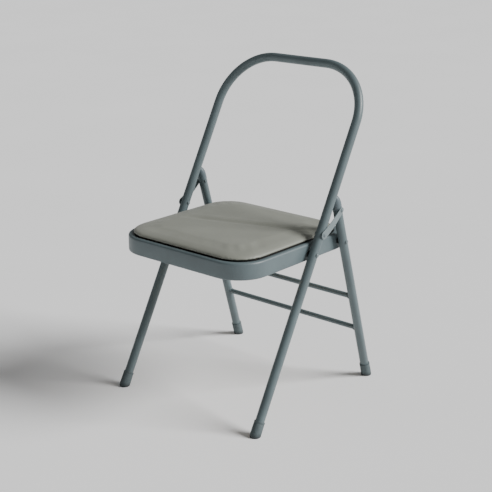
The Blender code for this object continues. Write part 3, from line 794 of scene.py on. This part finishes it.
def staples():
    """A row of staples along each side of the hem."""
    inset = HEM_EDGE + 0.55 * HEM_WIDTH
    x = PAN_HALF_WIDTH - inset
    front = PAN_FRONT_Y + inset
    rear = PAN_REAR_Y - inset
    middle_y = (front + rear) / 2
    rows = (((0, front), 0, x - 0.045), ((0, rear), 0, x - 0.045),
            ((x, middle_y), pi / 2, (rear - front) / 2 - 0.045), ((-x, middle_y), pi / 2, (rear - front) / 2 - 0.045))
    first = staple()
    made = []
    for (row_x, row_y), turn, reach in rows:
        count = int(2 * reach / STAPLE_SPACING)
        for number in range(count + 1):
            away = -reach + 2 * reach * number / count
            copy = first.copy()
            copy.data = first.data.copy()
            bpy.context.collection.objects.link(copy)
            offset = Vector((cos(turn) * away, sin(turn) * away, 0))
            place = Vector((row_x, row_y, LEDGE_Z + BOARD_BOTTOM - 0.0018)) + offset
            stand(copy, seat_tilt() @ Matrix.Translation(place) @ Matrix.Rotation(turn, 4, "Z"))
            made.append(copy)
    bpy.data.objects.remove(first, do_unlink=True)
    only(made[0])
    for copy in made:
        copy.select_set(True)
    bpy.ops.object.join()
    made[0].name = "hem_staples"
    return made[0]


def pad_screw(node):
    """A pan-head screw with a cross recess, its head down, at its node's place."""
    low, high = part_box(node)
    middle = (low + high) / 2
    head = 0.0036
    profile = [(0.0022, 0.0), (0.0030, 0.0003), (0.0035, 0.0009), (head, 0.0015), (head, 0.0020),
               (0.0016, 0.0020), (0.0016, 0.0070), (0.0004, high.z - low.z)]
    item = turned("pad_screw", profile, sides=32)
    for turn in (0, pi / 2):
        bpy.ops.mesh.primitive_cube_add(size=1, location=(0, 0, 0), rotation=(0, 0, turn))
        slot = bpy.context.object
        slot.scale = (0.0038, 0.0008, 0.0022)
        apply_modifier(item, "BOOLEAN", operation="DIFFERENCE", solver="EXACT", object=slot)
        bpy.data.objects.remove(slot, do_unlink=True)
    stand(item, Matrix.Translation((middle.x, middle.y, low.z)) @ Matrix.Rotation(-SEAT_TILT, 4, "X"))
    return item


# Studio

def broad_light(name, place, spread, strength, target=(0, 0, 0.4)):
    """A broad, even light from one side of the chair, as from a large diffuser far away."""
    bpy.ops.object.light_add(type="SUN", location=place)
    light = bpy.context.object
    light.name = name
    light.data.angle = radians(spread)
    light.data.energy = strength
    light.rotation_euler = (Vector(target) - Vector(place)).to_track_quat("-Z", "Y").to_euler()


def studio():
    """Camera, pale floor and one broad light high on the right, a little behind the chair."""
    bpy.ops.mesh.primitive_plane_add(size=FLOOR_SIZE, location=(0, 0, -0.0005))
    floor = bpy.context.object
    floor.name = "floor"
    only(floor)
    bpy.ops.object.transform_apply(location=True, rotation=True, scale=True)
    floor.data.materials.append(plain_floor())
    level = cos(CAMERA_ELEVATION)
    back = Vector((sin(CAMERA_AZIMUTH) * level, -cos(CAMERA_AZIMUTH) * level, sin(CAMERA_ELEVATION)))
    bpy.ops.object.camera_add(location=CAMERA_AIM + CAMERA_DISTANCE * back)
    camera = bpy.context.object
    camera.data.lens = CAMERA_LENS
    camera.data.sensor_width = 36
    camera.rotation_euler = (-back).to_track_quat("-Z", "Y").to_euler()
    bpy.context.scene.camera = camera
    broad_light("key", KEY_PLACE, KEY_SPREAD, KEY_STRENGTH)
    world = bpy.data.worlds.new("studio_air")
    world.use_nodes = True
    background = world.node_tree.nodes["Background"]
    background.inputs["Color"].default_value = (1, 1, 1, 1)
    background.inputs["Strength"].default_value = AIR_STRENGTH
    bpy.context.scene.world = world


# Assembly

bpy.ops.object.select_all(action="DESELECT")

paint = powder_coat("grey_blue_powder_coat", "566265", "627073")
# The strap's coat is the frame's grey painted lighter: painted light for its flat face turned towards the light.
strap_paint = powder_coat("light_grey_powder_coat", "6C787A", "788486")
rivet_paint = powder_coat("painted_rivet_steel", "606C6F", "6E7A7D", peel=0.05)
rubber = moulded_rubber()
cap_plastic = moulded_plastic("grey_polypropylene", "56636A", "616E72")
nylon = moulded_plastic("black_nylon", "1E2122", "272A2B")
zinc = zinc_plate()
plywood = bare_plywood()
leather = coated_fabric()

hand_over(hoop_tube(), "front_frame", "frame_paint", paint, "front_hoop_tube")
pair(rear_leg(), "rear_leg_tube", "rear_frame", "frame_paint", paint, "rear_leg")
pair(rubber_foot("front_tip", front_frame_at), "front_tip", "front_frame", "foot_rubber", rubber, "front_foot")
pair(rubber_foot("rear_tip", rear_at), "rear_tip", "rear_frame", "foot_rubber", rubber, "rear_foot")
pair(leg_cap(), "domed_cap", "rear_frame", "cap_plastic", cap_plastic, "leg_cap")
for rung in ("lower_stretcher", "upper_stretcher"):
    hand_over(stretcher(rung), "rear_frame", "frame_paint", paint, rung)
    pair(weld_bead(rung), rung.replace("stretcher", "weld"), "rear_frame", "frame_paint", paint)
pair(link_strap(), "strap", "link_SIDE", "strap_paint", strap_paint, "link_strap", angle=30)
pair(rivet("link_rivet_front"), "strap_lower_rivet", "front_frame", "rivet_paint", rivet_paint, "link_rivet_front")
pair(rivet("seat_rivet_front"), "seat_front_rivet", "front_frame", "rivet_paint", rivet_paint, "seat_rivet_front")
pair(rivet("seat_rivet_rear"), "seat_rear_rivet", "rear_frame", "rivet_paint", rivet_paint, "seat_rivet_rear")
pair(rivet("link_rivet_rear", tail=False), "strap_upper_rivet", "link_SIDE", "rivet_paint", rivet_paint,
     "link_rivet_rear")
pair(rivet("link_rivet_tail", head=False), "strap_upper_tail", "rear_frame", "rivet_paint", rivet_paint,
     "link_rivet_tail")
hand_over(seat_pan(), "seat", "frame_paint", paint, "seat_pan")
pad = cushion()
hand_over(pad, "seat", "vinyl", leather, "seat_cover", "seat_foam", angle=80)

# The black band paints the shade in the gap between the pad and the pan.
hand_over(edge_felt(), "seat", "nylon", gap_shade_felt())
hand_over(turned_hem(), "seat", "vinyl", leather)
hand_over(staples(), "seat", "zinc_steel", zinc)
for row in ("front", "rear"):
    pair(pad_screw(f"pad_screw_{row}_right"), f"{row}_pad_screw", "seat", "zinc_steel", zinc, f"pad_screw_{row}")

kept = {"seat_board": plywood}
for side in SIDES:
    kept[f"hinge_plate_{side}"] = zinc
    for row in ("front", "rear"):
        kept[f"seat_washer_{row}_{side}"] = nylon
for node, finish in kept.items():
    frame["nodes"][node].data.materials.clear()
    frame["nodes"][node].data.materials.append(finish)

studio()
